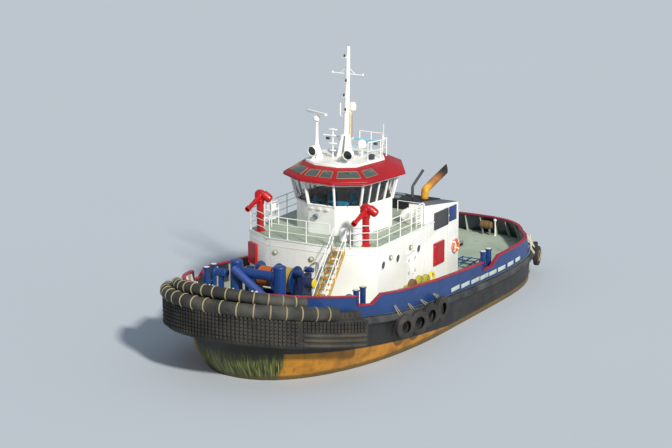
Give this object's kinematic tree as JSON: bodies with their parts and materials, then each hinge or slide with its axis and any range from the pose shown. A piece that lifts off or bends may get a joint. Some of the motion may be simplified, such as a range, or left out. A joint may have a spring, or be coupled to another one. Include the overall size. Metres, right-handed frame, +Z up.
{
  "type": "harbour tugboat",
  "caption": "Steel harbour tugboat with bow fenders, towing winch and staple, glazed wheelhouse, fire monitors and steerable stern thrusters.",
  "frame": {"origin": "amidships on the centreline, at the waterline", "axes": "+X towards the bow, +Y to port, +Z up"},
  "size_m": [27.95, 11.2406, 18.7427],
  "materials": {
    "hull_paint": "semi-gloss, worn",
    "blue_paint": "semi-gloss",
    "red_paint": "semi-gloss",
    "white_paint": "semi-gloss",
    "black_paint": "satin",
    "deck_paint": "matte",
    "grey_paint": "satin",
    "ochre_paint": "satin",
    "fender_rubber": "matte, worn",
    "tyre_rubber": "matte, worn",
    "clear_glass": "clear, tinted",
    "seat_fabric": "matte",
    "propeller_bronze": "polished"
  },
  "bodies": {
    "boat": {"bitts_aft_port": "blue_paint", "bitts_aft_starboard": "blue_paint", "bitts_fore_port": "blue_paint", "bitts_fore_starboard": "blue_paint", "boat_deck": "deck_paint", "bow_block_fender": "fender_rubber", "bow_fender_lower": "fender_rubber", "bow_fender_upper": "fender_rubber", "bulwark": "blue_paint", "cap_rail": "red_paint", "casing_middle": "black_paint", "casing_port": "white_paint", "casing_starboard": "white_paint", "console": "grey_paint", "deckhouse_aft_wall": "white_paint", "deckhouse_front_wall": "white_paint", "deckhouse_port_wall": "white_paint", "deckhouse_starboard_wall": "white_paint", "exhaust_port": "ochre_paint", "exhaust_starboard": "ochre_paint", "front_stair": "ochre_paint", "helm_chairs": "seat_fabric", "hull": "hull_paint", "mast": "white_paint", "monitor_post_port": "red_paint", "monitor_post_starboard": "red_paint", "quarter_tyres_port": "tyre_rubber", "quarter_tyres_starboard": "tyre_rubber", "radar_post": "white_paint", "railing_front": "white_paint", "railing_port": "white_paint", "roof_railing": "white_paint", "side_fender": "fender_rubber", "skeg": "hull_paint", "towing_staple": "blue_paint", "tyres_port": "tyre_rubber", "tyres_starboard": "tyre_rubber", "wheelhouse_back": "white_paint", "wheelhouse_floor": "grey_paint", "wheelhouse_front": "white_paint", "wheelhouse_glass": "clear_glass", "wheelhouse_port": "white_paint", "wheelhouse_roof": "red_paint", "wheelhouse_starboard": "white_paint", "winch_frame": "blue_paint"},
    "thruster_port": {"thruster_port": "hull_paint"},
    "thruster_starboard": {"thruster_starboard": "hull_paint"},
    "propeller_port": {"propeller_port": "propeller_bronze"},
    "propeller_starboard": {"propeller_starboard": "propeller_bronze"},
    "winch_drum": {"winch_drum": "blue_paint"},
    "radar_scanner": {"radar_scanner": "white_paint"},
    "monitor_head_port": {"monitor_head_port": "red_paint"},
    "monitor_head_starboard": {"monitor_head_starboard": "red_paint"},
    "monitor_barrel_port": {"monitor_barrel_port": "red_paint"},
    "monitor_barrel_starboard": {"monitor_barrel_starboard": "red_paint"},
    "deckhouse_port_door": {"deckhouse_port_door": "white_paint"},
    "deckhouse_starboard_door": {"deckhouse_starboard_door": "white_paint"},
    "deckhouse_aft_door": {"deckhouse_aft_door": "white_paint"},
    "wheelhouse_door": {"wheelhouse_door": "white_paint"},
    "hatch_lid": {"hatch_lid": "grey_paint"}
  },
  "joints": [
    {"name": "thruster_port_steer", "type": "hinge", "parent": "boat", "child": "thruster_port", "pos_m": [-10.6, 2.2, -1.96], "axis": [0, 0, 1], "continuous": true},
    {"name": "propeller_port_spin", "type": "hinge", "parent": "thruster_port", "child": "propeller_port", "pos_m": [-11.4, 2.2, -3.35], "axis": [1, 0, 0], "continuous": true},
    {"name": "monitor_port_turn", "type": "hinge", "parent": "boat", "child": "monitor_head_port", "pos_m": [4.29, 2.96, 6.62], "axis": [0, 0, 1], "range_deg": [-170, 170]},
    {"name": "monitor_port_tilt", "type": "hinge", "parent": "monitor_head_port", "child": "monitor_barrel_port", "pos_m": [4.35, 2.96, 6.88], "axis": [0, -1, 0], "range_deg": [0, 75]},
    {"name": "thruster_starboard_steer", "type": "hinge", "parent": "boat", "child": "thruster_starboard", "pos_m": [-10.6, -2.2, -1.96], "axis": [0, 0, 1], "continuous": true},
    {"name": "propeller_starboard_spin", "type": "hinge", "parent": "thruster_starboard", "child": "propeller_starboard", "pos_m": [-11.4, -2.2, -3.35], "axis": [1, 0, 0], "continuous": true},
    {"name": "monitor_starboard_turn", "type": "hinge", "parent": "boat", "child": "monitor_head_starboard", "pos_m": [4.29, -2.96, 6.62], "axis": [0, 0, 1], "range_deg": [-170, 170]},
    {"name": "monitor_starboard_tilt", "type": "hinge", "parent": "monitor_head_starboard", "child": "monitor_barrel_starboard", "pos_m": [4.35, -2.96, 6.88], "axis": [0, -1, 0], "range_deg": [0, 75]},
    {"name": "winch_drum_turn", "type": "hinge", "parent": "boat", "child": "winch_drum", "pos_m": [7.55, 0, 3.95], "axis": [0, 1, 0], "continuous": true},
    {"name": "radar_scanner_turn", "type": "hinge", "parent": "boat", "child": "radar_scanner", "pos_m": [2.12, -1, 10.76], "axis": [0, 0, 1], "continuous": true},
    {"name": "deckhouse_port_door_hinge", "type": "hinge", "parent": "boat", "child": "deckhouse_port_door", "pos_m": [1.21, 3.626, 3], "axis": [0, 0, -1], "range_deg": [0, 120]},
    {"name": "deckhouse_starboard_door_hinge", "type": "hinge", "parent": "boat", "child": "deckhouse_starboard_door", "pos_m": [1.21, -3.626, 3], "axis": [0, 0, 1], "range_deg": [0, 120]},
    {"name": "deckhouse_aft_door_hinge", "type": "hinge", "parent": "boat", "child": "deckhouse_aft_door", "pos_m": [-4.476, -0.43, 2.8], "axis": [0, 0, 1], "range_deg": [0, 120]},
    {"name": "wheelhouse_door_hinge", "type": "hinge", "parent": "boat", "child": "wheelhouse_door", "pos_m": [-1.526, -0.39, 6.4], "axis": [0, 0, 1], "range_deg": [0, 72]},
    {"name": "hatch_lid_hinge", "type": "hinge", "parent": "boat", "child": "hatch_lid", "pos_m": [-9.27, 0, 1.7103], "axis": [0, 1, 0], "range_deg": [0, 100]}
  ]
}
